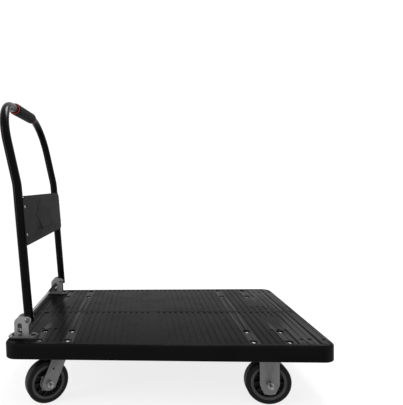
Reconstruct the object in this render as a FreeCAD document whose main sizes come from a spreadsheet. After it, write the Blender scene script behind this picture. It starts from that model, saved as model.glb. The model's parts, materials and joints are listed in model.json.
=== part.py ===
"""Folding platform cart: a moulded deck on four casters with a fold-down steel handle.

+X is the front of the cart and the handle stands at -X. +Y is the left side, seen by a person
who pushes the cart. The origin is on the floor, at the centre of the whole cart's bounding box.
Lengths are millimetres and angles are degrees.
"""
import FreeCAD
import Part

import math
import os

from FreeCAD import Placement, Rotation, Vector

doc = FreeCAD.newDocument("folding_platform_cart")
sizes = doc.addObject("Spreadsheet::Sheet", "sizes")

# Driving dimensions. Places along X are measured from the middle of the deck.
DIMENSIONS = {
    # deck
    "deck_centre": 11.5,
    "deck_length": 900,
    "deck_width": 600,
    "deck_top": 190,
    "deck_depth": 44,
    "deck_corner": 34,
    "deck_edge_round": 6,
    "deck_foot_round": 2,
    "deck_wall": 4,
    "deck_skin": 5,
    "web_thickness": 3,
    "web_inset": 5,
    "web_pitch_long": 74,
    "web_pitch_wide": 73,
    "web_corner_cut": 22,
    # tread ribs on the deck
    "groove_width": 8,
    "groove_pitch": 19,
    "groove_depth": 1.3,
    "groove_front_start": -4,
    "groove_front_count": 24,
    "groove_rear_start": -40,
    "groove_rear_count": 18,
    "groove_inner_end": 8,
    "groove_outer_end": 284,
    "seam_width": 2.4,
    "pad_inner_x": 312,
    "pad_outer_x": 375,
    "pad_inner_y": 55,
    "pad_outer_y": 170,
    "rear_groove_end": 206,
    "rear_groove_depth": 1.6,
    # caster seats in the deck
    "seat_height": 165,
    "seat_margin": 12,
    "seat_clearance": 4,
    "head_well_radius": 10,
    "head_well_depth": 12,
    "bolt_clear_radius": 4.5,
    "kingpin_hollow_radius": 15,
    "kingpin_hollow_depth": 11,
    # spare bracket holes at the front corners
    "spare_hole_radius": 6,
    "spare_hole_side": 247,
    # handle and its brackets
    "leg_side": 243,
    "pivot_back": 387.5,
    "pivot_height": 244,
    "tube_radius": 13.5,
    "tube_wall": 2,
    "lower_lean": 2.9,
    "upper_lean": 10.8,
    "kink_height": 636,
    "kink_radius": 170,
    "bar_height": 881,
    "corner_radius": 125,
    "leg_foot": 8,
    "grip_length": 196,
    "grip_offset": 14,
    "grip_radius": 19,
    "ring_radius": 17.5,
    "ring_length": 7,
    "panel_low": 458,
    "panel_high": 601.5,
    "panel_width": 500,
    "panel_thickness": 2.5,
    "bracket_plate": 3,
    "bracket_width": 34,
    "bracket_raise": 3,
    "bracket_back": 448,
    "bracket_front": 368,
    "flange_back": 427,
    "flange_front": 384.6,
    "flange_top": 255,
    "ear_radius": 9,
    "pin_radius": 5,
    "running_clearance": 0.05,
    "window_back": 417,
    "window_front": 404,
    "window_low": 200,
    "window_high": 236,
    # release latch
    "bar_back": 439,
    "bar_front": 429,
    "bar_low": 200,
    "bar_high": 204.5,
    "bar_half": 224.6,
    "arm_plate": 4,
    "block_low": 221,
    "block_high": 233,
    "spring_radius": 4.2,
    "spring_wire": 0.8,
    "spring_turns": 4,
    "strap_width": 6,
    "spring_seat_length": 11,
    "spring_seat_height": 12,
    "seat_bolt_raise": 4,
    # casters
    "wheel_radius": 62.5,
    "wheel_width": 32,
    "rim_radius": 49.5,
    "rim_inner_radius": 41,
    "rim_width": 29,
    "hub_radius": 16,
    "hub_width": 41,
    "web_width": 7,
    "rib_count": 10,
    "rib_width": 24,
    "bearing_radius": 13,
    "bearing_width": 9,
    "spacer_radius": 7.5,
    "axle_radius": 5,
    "guard_radius": 25,
    "fork_gap": 42,
    "fork_plate": 2.5,
    "caster_plate": 3,
    "caster_side": 228,
    "front_caster": 290,
    "rear_caster": 312,
    "front_bolts_long": 94,
    "front_bolts_wide": 78,
    "rear_bolts_long": 83,
    "rear_bolts_wide": 75,
    "rigid_leg_width": 53,
    "rigid_leg_end": 30,
    "swivel_trail": 33,
    "swivel_leg_end": 21,
    "race_radius": 34,
    "ball_circle": 24,
    "ball_radius": 3,
    "ball_count": 14,
    "crown_top": 148.7,
    "crown_plate": 3,
    "kingpin_radius": 6,
    # fasteners
    "bolt_radius": 4,
    "bolt_head_radius": 7.4,
    "bolt_head_height": 5.3,
    "nut_radius": 7.4,
    "nut_height": 6.5,
    "washer_radius": 8.5,
    "washer_thickness": 1.6,
    "bracket_bolt_length": 42,
    "caster_bolt_length": 26,
    "pin_head_radius": 7,
    "pin_head_height": 4,
    "pin_nut_radius": 8.5,
    "pin_nut_height": 7,
    "seat_bolt_radius": 3,
    "seat_bolt_head_radius": 6,
    "seat_bolt_head_height": 3.5,
    "panel_screw_radius": 2.1,
    "panel_screw_head_radius": 4.2,
    "panel_screw_head_height": 2.4,
    "panel_screw_length": 10,
    "kingpin_head_radius": 11,
    "kingpin_head_height": 6,
    "kingpin_length": 29,
    "kingpin_nut_height": 8,
    "axle_head_radius": 9,
    "axle_head_height": 4.5,
    "axle_nut_radius": 9.2,
    "axle_nut_height": 9,
    "axle_end": 13,
}
SWIVEL_ANGLES = {"right": 32.0, "left": -17.0}
SIDES = {"right": -1, "left": 1}
BRACKET_BOLT_PLACES = (375, 398, 433)
PANEL_SCREW_HEIGHTS = (489, 570)
# A cylinder's round edges, by their numbers.
BOTTOM_EDGE, TOP_EDGE = 2, 3
UPRIGHT = Rotation()
HEAD_DOWN = Rotation(Vector(1, 0, 0), 180)
HEAD_TO_RIGHT = Rotation(Vector(1, 0, 0), 90)
HEAD_TO_LEFT = Rotation(Vector(1, 0, 0), -90)
OUTWARD = {"right": HEAD_TO_RIGHT, "left": HEAD_TO_LEFT}

for row, (alias, value) in enumerate(DIMENSIONS.items(), start=1):
    sizes.set(f"A{row}", alias)
    sizes.set(f"B{row}", str(value))
    sizes.setAlias(f"B{row}", alias)
doc.recompute()

nodes = {}


def size(alias):
    """A driving dimension as a number."""
    return float(sizes.get(alias))


def expression(text):
    """Put the sheet's name before every alias in a formula."""
    words = str(text).replace("(", " ( ").replace(")", " ) ").split()
    return " ".join(f"sizes.{word}" if word in DIMENSIONS else word for word in words)


def bind(feature, **formulas):
    for name, formula in formulas.items():
        feature.setExpression(name, expression(formula))
    return feature


def place(feature, x="0", y="0", z="0", rotation=UPRIGHT):
    """Put a feature at formulas for its place, after an optional turn."""
    feature.Placement = Placement(Vector(), rotation)
    for axis, formula in zip("xyz", (x, y, z)):
        feature.setExpression(f"Placement.Base.{axis}", expression(formula))
    return feature


def node(name, feature):
    """Name a finished sub-part: its label is its file's name."""
    feature.Label = name
    nodes[name] = feature
    return feature


def group(name, members):
    """Identical fasteners that share a node."""
    compound = doc.addObject("Part::Compound", name)
    compound.Links = members
    return node(name, compound)


# --- Part primitives -------------------------------------------------------------------------


def cylinder(name, radius, height, x="0", y="0", z="0", rotation=UPRIGHT):
    feature = doc.addObject("Part::Cylinder", name)
    return place(bind(feature, Radius=radius, Height=height), x, y, z, rotation)


def box(name, length, width, height, x="0", y="0", z="0"):
    feature = doc.addObject("Part::Box", name)
    return place(bind(feature, Length=length, Width=width, Height=height), x, y, z)


def fuse(name, first, second):
    feature = doc.addObject("Part::Fuse", name)
    feature.Base = first
    feature.Tool = second
    return feature


def cut(name, base, tool):
    feature = doc.addObject("Part::Cut", name)
    feature.Base = base
    feature.Tool = tool
    return feature


def hex_bolt(name, head_radius, head_height, shank_radius, shank_length):
    """A hexagon-head bolt: its head stands on z = 0 and its shank hangs below."""
    head = doc.addObject("Part::Prism", name + "_head")
    head.Polygon = 6
    bind(head, Circumradius=head_radius, Height=head_height)
    shank = cylinder(name + "_shank", shank_radius, shank_length, z=f"0 - ( {shank_length} )")
    return fuse(name, head, shank)


def round_bolt(name, head_radius, head_height, shank_radius, shank_length):
    """A round-head bolt: a low domed head on z = 0 and its shank below."""
    disc = cylinder(name + "_head", head_radius, head_height)
    dome = doc.addObject("Part::Chamfer", name + "_dome")
    dome.Base = disc
    bevel = 0.4 * size(head_height)
    dome.Edges = [(TOP_EDGE, bevel, bevel * 1.6)]
    shank = cylinder(name + "_shank", shank_radius, shank_length, z=f"0 - ( {shank_length} )")
    return fuse(name, dome, shank)


def hex_nut(name, radius, height, bore):
    """A nut on z = 0, bored for its thread."""
    blank = doc.addObject("Part::Prism", name + "_blank")
    blank.Polygon = 6
    bind(blank, Circumradius=radius, Height=height)
    return cut(name, blank, cylinder(name + "_bore", bore, height))


def washer(name, radius, thickness, bore):
    """A flat ring on z = 0."""
    disc = cylinder(name + "_disc", radius, thickness)
    return cut(name, disc, cylinder(name + "_bore", bore, thickness))


# --- PartDesign ------------------------------------------------------------------------------


def new_body(name):
    return node(name, doc.addObject("PartDesign::Body", name))


def new_sketch(body, plane, offset="0"):
    """A sketch on one of the body's own origin planes, moved along that plane's normal."""
    support = next(item for item in body.Origin.OriginFeatures if item.Role == plane)
    sketch = body.newObject("Sketcher::SketchObject", f"{body.Name}_{plane}_sketch")
    sketch.AttachmentSupport = [(support, "")]
    sketch.MapMode = "FlatFace"
    sketch.setExpression("AttachmentOffset.Base.z", expression(offset))
    return sketch


def outline(sketch, points):
    """Close a loop through points; a pair of points in one entry is an arc's middle and end."""
    ends = [point if isinstance(point[0], (int, float)) else point[1] for point in points]
    for index, point in enumerate(points):
        start = Vector(*ends[index - 1], 0)
        if isinstance(point[0], (int, float)):
            if start.distanceToPoint(Vector(*point, 0)) > 1e-6:
                sketch.addGeometry(Part.LineSegment(start, Vector(*point, 0)), False)
        else:
            sketch.addGeometry(Part.Arc(start, Vector(*point[0], 0), Vector(*point[1], 0)), False)


def rectangle(sketch, low_x, high_x, low_y, high_y):
    outline(sketch, [(low_x, low_y), (high_x, low_y), (high_x, high_y), (low_x, high_y)])


def circle(sketch, x, y, radius):
    sketch.addGeometry(Part.Circle(Vector(x, y, 0), Vector(0, 0, 1), radius), False)


def rounded_rectangle(sketch, half_length, half_width, radius):
    """A rectangle about the sketch's origin with round corners."""
    x, y = half_length - radius, half_width - radius
    bow = radius * math.sqrt(0.5)
    outline(sketch, [
        (x, -half_width),
        ((x + bow, -y - bow), (half_length, -y)),
        (half_length, y),
        ((x + bow, y + bow), (x, half_width)),
        (-x, half_width),
        ((-x - bow, y + bow), (-half_length, y)),
        (-half_length, -y),
        ((-x - bow, -y - bow), (-x, -half_width)),
    ])


def pad(body, sketch, length, midplane=False, reverse=False):
    feature = body.newObject("PartDesign::Pad", f"{body.Name}_pad")
    feature.Profile = sketch
    feature.Midplane = midplane
    feature.Reversed = reverse
    bind(feature, Length=length)
    doc.recompute()
    return feature


def pocket(body, sketch, length, midplane=False, reverse=False):
    """Cut a profile out of the body, and make sure that it cut something."""
    before = body.Shape.Volume
    feature = body.newObject("PartDesign::Pocket", f"{body.Name}_pocket")
    feature.Profile = sketch
    feature.Midplane = midplane
    feature.Reversed = reverse
    bind(feature, Length=length)
    doc.recompute()
    if body.Shape.Volume >= before:
        raise RuntimeError(f"{feature.Name} cuts nothing")
    return feature


def revolve(body, sketch, axis="V_Axis"):
    feature = body.newObject("PartDesign::Revolution", f"{body.Name}_revolution")
    feature.Profile = sketch
    feature.ReferenceAxis = (sketch, [axis])
    feature.Angle = 360
    doc.recompute()
    return feature


def fillet(body, feature, radius, wanted):
    """Round the edges of the body's last feature that wanted(edge) picks."""
    names = [f"Edge{i}" for i, edge in enumerate(feature.Shape.Edges, start=1) if wanted(edge)]
    rounding = body.newObject("PartDesign::Fillet", f"{body.Name}_fillet")
    rounding.Base = (feature, names)
    bind(rounding, Radius=radius)
    doc.recompute()
    return rounding


def deck_x(along):
    """A place along the deck, from its middle, in the cart's own frame."""
    return size("deck_centre") + along


# --- Deck ------------------------------------------------------------------------------------


def caster_seats():
    """Each caster's centre along the deck, its side and its bolt spacings."""
    for side in SIDES.values():
        y = side * size("caster_side")
        yield size("front_caster"), y, size("front_bolts_long"), size("front_bolts_wide")
        yield -size("rear_caster"), y, size("rear_bolts_long"), size("rear_bolts_wide")


def bolt_places(x, y, length, width):
    return [(x + i * length / 2, y + j * width / 2) for i in (-1, 1) for j in (-1, 1)]


def make_deck():
    body = new_body("deck_platform")
    place(body, "deck_centre")
    half_length, half_width = size("deck_length") / 2, size("deck_width") / 2
    top, foot = size("deck_top"), size("deck_top") - size("deck_depth")
    wall, skin = size("deck_wall"), size("deck_skin")

    plan = new_sketch(body, "XY_Plane", "deck_top - deck_depth")
    rounded_rectangle(plan, half_length, half_width, size("deck_corner"))
    slab = pad(body, plan, "deck_depth")
    slab = fillet(body, slab, "deck_edge_round",
                  lambda edge: edge.BoundBox.ZMin > top - 0.1)
    fillet(body, slab, "deck_foot_round", lambda edge: edge.BoundBox.ZMax < foot + 0.1)

    inside = new_sketch(body, "XY_Plane", "deck_top - deck_depth")
    rounded_rectangle(inside, half_length - wall, half_width - wall, size("deck_corner") - wall)
    pocket(body, inside, "deck_depth - deck_skin", reverse=True)

    # Cross webs under the skin. They start above the skirt's foot.
    webs = new_sketch(body, "XY_Plane", "deck_top - deck_skin")
    add_web_grid(webs, half_length - wall / 2, half_width - wall / 2)
    pad(body, webs, "deck_depth - deck_skin - web_inset", reverse=True)

    # Solid seats for the casters, the handle brackets and the spare bracket holes, with the
    # webs cleared away below them.
    for add_seats in (add_caster_seats, add_bracket_seats):
        room = new_sketch(body, "XY_Plane", "seat_height")
        add_seats(room, size("seat_clearance"))
        pocket(body, room, "deck_depth")
        seats = new_sketch(body, "XY_Plane", "seat_height")
        add_seats(seats, 0)
        pad(body, seats, "deck_top - seat_height - deck_skin / 2")

    grooves = new_sketch(body, "XY_Plane", "deck_top")
    add_tread_grooves(grooves)
    pocket(body, grooves, "groove_depth")
    pads = new_sketch(body, "XY_Plane", "deck_top - groove_depth - 0.5")
    for sign_x in (-1, 1):
        for sign_y in (-1, 1):
            xs = sorted((sign_x * size("pad_inner_x"), sign_x * size("pad_outer_x")))
            ys = sorted((sign_y * size("pad_inner_y"), sign_y * size("pad_outer_y")))
            rectangle(pads, *xs, *ys)
    pad(body, pads, "groove_depth + 0.5")

    rear = new_sketch(body, "XY_Plane", "deck_top")
    add_rear_grooves(rear)
    pocket(body, rear, "rear_groove_depth")

    raises = new_sketch(body, "XY_Plane", "deck_top - 1")
    for side in SIDES.values():
        y = side * size("leg_side")
        half = size("bracket_width") / 2 + 5
        rectangle(raises, -size("bracket_back") + 4, -size("bracket_front") + 4, y - half, y + half)
    pad(body, raises, "bracket_raise + 1")

    wells = new_sketch(body, "XY_Plane", "deck_top")
    for seat in caster_seats():
        for x, y in bolt_places(*seat):
            circle(wells, x, y, size("head_well_radius"))
    pocket(body, wells, "head_well_depth")
    bolts = new_sketch(body, "XY_Plane", "deck_top")
    for seat in caster_seats():
        for x, y in bolt_places(*seat):
            circle(bolts, x, y, size("bolt_clear_radius"))
    for side in SIDES.values():
        for along in BRACKET_BOLT_PLACES:
            circle(bolts, along, side * size("spare_hole_side"), size("spare_hole_radius"))
    pocket(body, bolts, "deck_depth")
    bracket_bolts = new_sketch(body, "XY_Plane", "deck_top + bracket_raise")
    for side in SIDES.values():
        for along in BRACKET_BOLT_PLACES:
            circle(bracket_bolts, -along, side * size("leg_side"), size("bolt_clear_radius"))
    pocket(body, bracket_bolts, "deck_depth + bracket_raise")

    # A hollow over each kingpin's head.
    hollows = new_sketch(body, "XY_Plane", "seat_height")
    for side in SIDES.values():
        circle(hollows, -size("rear_caster"), side * size("caster_side"),
               size("kingpin_hollow_radius"))
    pocket(body, hollows, "kingpin_hollow_depth", reverse=True)


def add_web_grid(sketch, half_length, half_width):
    """Webs both ways at an even pitch, drawn as one outline with square holes."""
    thick = size("web_thickness")
    rounded_rectangle(sketch, half_length, half_width, size("deck_corner") - size("deck_wall") / 2)
    across = int(2 * half_length // size("web_pitch_long"))
    along = int(2 * half_width // size("web_pitch_wide"))
    cell_x = (2 * half_length - thick) / across
    cell_y = (2 * half_width - thick) / along
    corner = size("web_corner_cut")
    for i in range(across):
        for j in range(along):
            low_x = -half_length + thick + i * cell_x
            low_y = -half_width + thick + j * cell_y
            at_corner = i in (0, across - 1) and j in (0, along - 1)
            if at_corner:
                add_corner_cell(sketch, low_x, low_y, cell_x - thick, cell_y - thick, corner)
            else:
                rectangle(sketch, low_x, low_x + cell_x - thick, low_y, low_y + cell_y - thick)


def add_corner_cell(sketch, low_x, low_y, length, width, corner):
    """A cell at the deck's corner: its outer corner is cut off inside the skirt's round."""
    sign_x = 1 if low_x > 0 else -1
    sign_y = 1 if low_y > 0 else -1
    centre_x, centre_y = low_x + length / 2, low_y + width / 2
    points = [(-1, -1), (1, -1), (1, 1), (-1, 1)]
    shape = []
    for x, y in points:
        corner_x, corner_y = centre_x + x * length / 2, centre_y + y * width / 2
        if (x, y) == (sign_x, sign_y):
            first = (corner_x, corner_y - y * corner)
            second = (corner_x - x * corner, corner_y)
            shape += [first, second] if x == y else [second, first]
        else:
            shape.append((corner_x, corner_y))
    outline(sketch, shape)


def add_caster_seats(sketch, clearance):
    margin = size("seat_margin") + size("bolt_clear_radius") + clearance
    for x, y, length, width in caster_seats():
        rectangle(sketch, x - length / 2 - margin, x + length / 2 + margin,
                  y - width / 2 - margin, y + width / 2 + margin)


def add_bracket_seats(sketch, clearance):
    half = 12 + clearance
    low, high = BRACKET_BOLT_PLACES[0] - half, BRACKET_BOLT_PLACES[-1] + 9
    for side in SIDES.values():
        y = side * size("leg_side")
        rectangle(sketch, -high, -low, y - half, y + half)
        y = side * size("spare_hole_side")
        rectangle(sketch, low, high, y - half, y + half)


def add_tread_grooves(sketch):
    """Cross grooves in two halves, apart from a plain band near the middle, and the seam."""
    centres = [size("groove_front_start") + i * size("groove_pitch")
               for i in range(int(size("groove_front_count")))]
    centres += [size("groove_rear_start") - i * size("groove_pitch")
                for i in range(int(size("groove_rear_count")))]
    half = size("groove_width") / 2
    for side in SIDES.values():
        ys = sorted((side * size("groove_inner_end"), side * size("groove_outer_end")))
        for x in centres:
            rectangle(sketch, x - half, x + half, *ys)
    seam = size("seam_width") / 2
    rectangle(sketch, -size("flange_front"), size("deck_length") / 2 - 12, -seam, seam)


def add_rear_grooves(sketch):
    """Grooves between the brackets that leave strong ridges along the rear rim."""
    for back, front in ((433, 431), (425, 423.5), (413, 410), (399, 381)):
        for side in SIDES.values():
            ys = sorted((side * size("groove_inner_end"), side * size("rear_groove_end")))
            rectangle(sketch, -back, -front, *ys)


# --- Handle brackets and latch ---------------------------------------------------------------


def make_bracket(side_name):
    """A stamped channel: a base plate and two flanges with a pivot ear and a spring window."""
    side = SIDES[side_name]
    body = new_body(f"hinge_bracket_{side_name}")
    sign = "" if side > 0 else "0 - "
    place(body, "deck_centre", f"{sign}leg_side")
    base_low = size("deck_top") + size("bracket_raise")
    plate = size("bracket_plate")
    pivot_x, pivot_z = -size("pivot_back"), size("pivot_height")
    back, front = -size("flange_back"), -size("flange_front")
    top, ear = size("flange_top"), size("ear_radius") + 1.5

    base = new_sketch(body, "XY_Plane", "deck_top + bracket_raise")
    half = size("bracket_width") / 2
    low_x, high_x = -size("bracket_back"), -size("bracket_front")
    cut_off = 6
    outline(base, [
        (low_x + cut_off, -half), (high_x - cut_off, -half), (high_x, cut_off - half),
        (high_x, half - cut_off), (high_x - cut_off, half), (low_x + cut_off, half),
        (low_x, half - cut_off), (low_x, cut_off - half),
    ])
    pad(body, base, "bracket_plate")

    flange = new_sketch(body, "XZ_Plane", "0 - bracket_width / 2")
    shoulder = top - 17
    slope = math.radians(50)
    outline(flange, [
        (back, base_low),
        (front, base_low),
        (front, pivot_z - 14),
        (front + 2.4, pivot_z - 9),
        ((pivot_x + ear * math.cos(0.1), pivot_z - 1), (pivot_x + ear * math.cos(slope),
                                                         pivot_z + ear * math.sin(slope))),
        (pivot_x + 2, top),
        (back + 19, top),
        ((back + 6, top - 6), (back, shoulder)),
    ])
    pad(body, flange, "bracket_width")

    channel = new_sketch(body, "XZ_Plane", "bracket_plate - bracket_width / 2")
    rectangle(channel, low_x - 1, high_x + 1, base_low + plate, top + 5)
    pocket(body, channel, "bracket_width - 2 * bracket_plate", reverse=True)

    window = new_sketch(body, "XZ_Plane", "0 - bracket_width / 2 - 1")
    win_back, win_front = -size("window_back"), -size("window_front")
    win_low, win_high = size("window_low"), size("window_high")
    middle, radius = (win_back + win_front) / 2, (win_front - win_back) / 2
    outline(window, [
        (win_front, win_low + radius),
        (win_front, win_high - radius),
        ((middle, win_high), (win_back, win_high - radius)),
        (win_back, win_low + radius),
        ((middle, win_low), (win_front, win_low + radius)),
    ])
    circle(window, pivot_x, pivot_z, size("pin_radius") + size("running_clearance"))
    pocket(body, window, "bracket_width + 2", reverse=True)

    holes = new_sketch(body, "XY_Plane", "deck_top + bracket_raise + bracket_plate")
    for along in BRACKET_BOLT_PLACES:
        circle(holes, -along, 0, size("bolt_clear_radius"))
    pocket(body, holes, "bracket_plate")


def make_bracket_fasteners():
    bolts, nuts, pins, pin_nuts, seat_bolts, seats, springs = [], [], [], [], [], [], []
    for side_name, side in SIDES.items():
        sign = "" if side > 0 else "0 - "
        leg = f"{sign}leg_side"
        for along in BRACKET_BOLT_PLACES:
            tag = f"{side_name}_{along}"
            bolt = hex_bolt(f"bracket_bolt_{tag}", "bolt_head_radius", "bolt_head_height",
                            "bolt_radius", "bracket_bolt_length")
            bolts.append(place(bolt, f"deck_centre - {along}", leg,
                               "deck_top + bracket_raise + bracket_plate"))
            nut = hex_nut(f"bracket_nut_{tag}", "nut_radius", "nut_height", "bolt_radius")
            nuts.append(place(nut, f"deck_centre - {along}", leg, "seat_height - nut_height"))
        outer = f"{sign}( leg_side + bracket_width / 2 )"
        inner = f"{sign}( leg_side - bracket_width / 2 - pin_nut_height )"
        pin = round_bolt(f"hinge_pin_{side_name}", "pin_head_radius", "pin_head_height",
                         "pin_radius", "bracket_width + pin_nut_height + 3")
        pins.append(place(pin, "deck_centre - pivot_back", outer, "pivot_height",
                          OUTWARD[side_name]))
        pin_nut = hex_nut(f"hinge_pin_nut_{side_name}", "pin_nut_radius", "pin_nut_height",
                          "pin_radius")
        pin_nuts.append(place(pin_nut, "deck_centre - pivot_back", inner, "pivot_height",
                              OUTWARD[side_name]))
        seat_x = "deck_centre - ( window_back + window_front ) / 2"
        seat_bolt = round_bolt(f"seat_bolt_{side_name}", "seat_bolt_head_radius",
                               "seat_bolt_head_height", "seat_bolt_radius", "bracket_width")
        seat_bolts.append(place(seat_bolt, seat_x, outer, "window_low + seat_bolt_raise",
                                OUTWARD[side_name]))
        block = box(f"spring_seat_block_{side_name}", "spring_seat_length",
                    "bracket_width - 2 * bracket_plate", "spring_seat_height",
                    f"{seat_x} - spring_seat_length / 2",
                    f"{leg} - bracket_width / 2 + bracket_plate",
                    "deck_top + bracket_raise + bracket_plate")
        bore = cylinder(f"spring_seat_bore_{side_name}", "seat_bolt_radius", "bracket_width",
                        seat_x, f"{leg} + bracket_width / 2", "window_low + seat_bolt_raise",
                        HEAD_TO_RIGHT)
        seats.append(cut(f"spring_seat_{side_name}", block, bore))
        springs.append(make_spring(side_name, side))
    group("bracket_bolts", bolts)
    group("bracket_nuts", nuts)
    group("hinge_pins", pins)
    group("hinge_pin_nuts", pin_nuts)
    group("seat_bolts", seat_bolts)
    group("spring_seats", seats)
    group("latch_springs", springs)


def make_spring(side_name, side):
    """A compression coil between its seat and the latch block."""
    low = (size("deck_top") + size("bracket_raise") + size("bracket_plate")
           + size("spring_seat_height"))
    high = size("block_low")
    wire = size("spring_wire")
    rise = high - low - 2 * wire - 0.1
    helix = doc.addObject("Part::Helix", f"spring_path_{side_name}")
    helix.Radius = size("spring_radius")
    helix.Pitch = rise / size("spring_turns")
    helix.Height = rise
    section = doc.addObject("Part::Circle", f"spring_section_{side_name}")
    bind(section, Radius="spring_wire")
    section.Placement = Placement(Vector(size("spring_radius"), 0, 0),
                                  Rotation(Vector(1, 0, 0), 90))
    sweep = doc.addObject("Part::Sweep", f"latch_spring_{side_name}")
    sweep.Sections = [section]
    sweep.Spine = (helix, [])
    sweep.Solid = True
    sweep.Frenet = True
    middle = -(size("window_back") + size("window_front")) / 2
    sweep.Placement = Placement(
        Vector(deck_x(middle), side * size("leg_side"), low + wire + 0.05), UPRIGHT)
    return sweep


def make_latch():
    """The foot bar between the brackets, and the straps and sprung blocks that it pulls down."""
    bar = box("release_bar", "bar_back - bar_front", "2 * ( bar_half - arm_plate )",
              "bar_high - bar_low", "deck_centre - bar_back", "0 - bar_half + arm_plate",
              "bar_low")
    node("release_bar", bar)
    back, low = -size("bar_back"), size("bar_low")
    width = size("strap_width")
    stub_back, stub_front = -size("window_back") + 1, -size("window_front") - 2
    stub_low, stub_high = size("block_low") + 1, size("block_high") - 1

    blocks, straps = [], []
    for side_name, side in SIDES.items():
        strap = doc.addObject("PartDesign::Body", f"latch_strap_{side_name}")
        place(strap, "deck_centre")
        offset = "0 - bar_half" if side > 0 else "bar_half - arm_plate"
        shape = new_sketch(strap, "XZ_Plane", offset)
        outline(shape, [
            (back, low), (back + width, low), (stub_front, stub_low), (stub_front, stub_high),
            (stub_back, stub_high), (back, low + width),
        ])
        pad(strap, shape, "arm_plate")
        straps.append(strap)

        sign = "" if side > 0 else "0 - "
        gap = "leg_side - bracket_width / 2 + bracket_plate + 0.3"
        block = box(f"latch_block_body_{side_name}", "window_back - window_front - 1.2",
                    "bracket_width - 2 * bracket_plate - 0.6", "block_high - block_low",
                    "deck_centre - window_back + 0.2",
                    f"{sign}leg_side - bracket_width / 2 + bracket_plate + 0.3", "block_low")
        stub_y = "bar_half" if side > 0 else f"0 - ( {gap} )"
        stub = box(f"latch_stub_{side_name}", "window_back - window_front - 3",
                   f"{gap} - bar_half", "block_high - block_low - 2",
                   "deck_centre - window_back + 1", stub_y, "block_low + 1")
        blocks.append(fuse(f"latch_block_{side_name}", block, stub))
    group("latch_blocks", blocks)
    group("latch_straps", straps)


# --- Handle ----------------------------------------------------------------------------------


def lean_vector(degrees):
    """A leg's upward direction when it leans back by an angle."""
    return Vector(-math.sin(math.radians(degrees)), 0, math.cos(math.radians(degrees)))


def handle_points():
    """The left leg's foot, kink and virtual corner, all at the leg's own side."""
    side = size("leg_side")
    pivot = Vector(deck_x(-size("pivot_back")), side, size("pivot_height"))
    lower, upper = lean_vector(size("lower_lean")), lean_vector(size("upper_lean"))
    foot = pivot - lower * size("leg_foot")
    kink = pivot + lower * ((size("kink_height") - pivot.z) / lower.z)
    corner = kink + upper * ((size("bar_height") - kink.z) / upper.z)
    return foot, kink, corner, lower, upper


def tangent_arc(before, point, after, radius):
    """The two ends and the middle of an arc that rounds a path's corner."""
    into, out = (before - point).normalize(), (after - point).normalize()
    half_angle = into.getAngle(out) / 2
    reach = radius / math.tan(half_angle)
    bisector = (into + out).normalize()
    centre = point + bisector * (radius / math.sin(half_angle))
    return point + into * reach, centre - bisector * radius, point + out * reach


def mirrored(point):
    return Vector(point.x, -point.y, point.z)


def make_handle_tube():
    """A bent tube: two cranked legs and a top bar, bored for the pins and the panel screws."""
    foot, kink, corner, lower = handle_points()[:4]
    far_corner = mirrored(corner)
    kink_arc = tangent_arc(foot, kink, corner, size("kink_radius"))
    bend = tangent_arc(kink, corner, far_corner, size("corner_radius"))
    stops = [foot, *kink_arc, *bend]
    left = [
        Part.LineSegment(stops[0], stops[1]),
        Part.Arc(stops[1], stops[2], stops[3]),
        Part.LineSegment(stops[3], stops[4]),
        Part.Arc(stops[4], stops[5], stops[6]),
        Part.LineSegment(stops[6], mirrored(stops[6])),
        Part.Arc(mirrored(stops[6]), mirrored(stops[5]), mirrored(stops[4])),
        Part.LineSegment(mirrored(stops[4]), mirrored(stops[3])),
        Part.Arc(mirrored(stops[3]), mirrored(stops[2]), mirrored(stops[1])),
        Part.LineSegment(mirrored(stops[1]), mirrored(stops[0])),
    ]
    path = Part.Wire([piece.toShape() for piece in left])
    radius = size("tube_radius")
    solids = []
    for ring in (radius, radius - size("tube_wall")):
        section = Part.Wire(Part.Circle(foot, lower, ring).toShape())
        solids.append(path.makePipeShell([section], True, False))
    tube = solids[0].cut(solids[1])
    pivot = foot + lower * size("leg_foot")
    pin_bore = Part.makeCylinder(size("pin_radius") + size("running_clearance"),
                                 2 * size("leg_side") + 60,
                                 Vector(pivot.x, -size("leg_side") - 30, pivot.z),
                                 Vector(0, 1, 0))
    tube = tube.cut(pin_bore)
    front = Vector(lower.z, 0, -lower.x)
    for place_on_leg in screw_places():
        tube = tube.cut(Part.makeCylinder(size("panel_screw_radius"), radius + 5,
                                          place_on_leg, front))
    feature = doc.addObject("Part::Feature", "handle_tube")
    feature.Shape = tube
    node("handle_tube", feature)


def screw_places():
    """Where the panel's screws cross the legs' centre lines."""
    foot, lower = handle_points()[0], handle_points()[3]
    for height in PANEL_SCREW_HEIGHTS:
        on_leg = foot + lower * ((height - foot.z) / lower.z)
        yield on_leg
        yield mirrored(on_leg)


def make_hinge_bushes():
    """Nylon plugs in the tube's feet that carry the pins, with a lip below the tube."""
    bushes = []
    for side_name, side in SIDES.items():
        foot = handle_points()[0]
        lower = handle_points()[3]
        if side < 0:
            foot = mirrored(foot)
        tilt = Rotation(Vector(0, 1, 0), -size("lower_lean"))
        plug = cylinder(f"hinge_plug_{side_name}", "tube_radius - tube_wall", "leg_foot + 18")
        lip = cylinder(f"hinge_lip_{side_name}", "tube_radius", 3, z="0 - 3")
        solid = fuse(f"hinge_plug_with_lip_{side_name}", plug, lip)
        bore = cylinder(f"hinge_plug_bore_{side_name}", "pin_radius + running_clearance", 40,
                        "0", "20", "leg_foot", HEAD_TO_RIGHT)
        bush = cut(f"hinge_bush_{side_name}", solid, bore)
        bush.Placement = Placement(foot, tilt)
        bushes.append(bush)
    group("hinge_bushes", bushes)


def bar_centre():
    """The top bar's centre line, along the deck and up."""
    corner = handle_points()[2]
    return corner.x, corner.z


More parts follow.
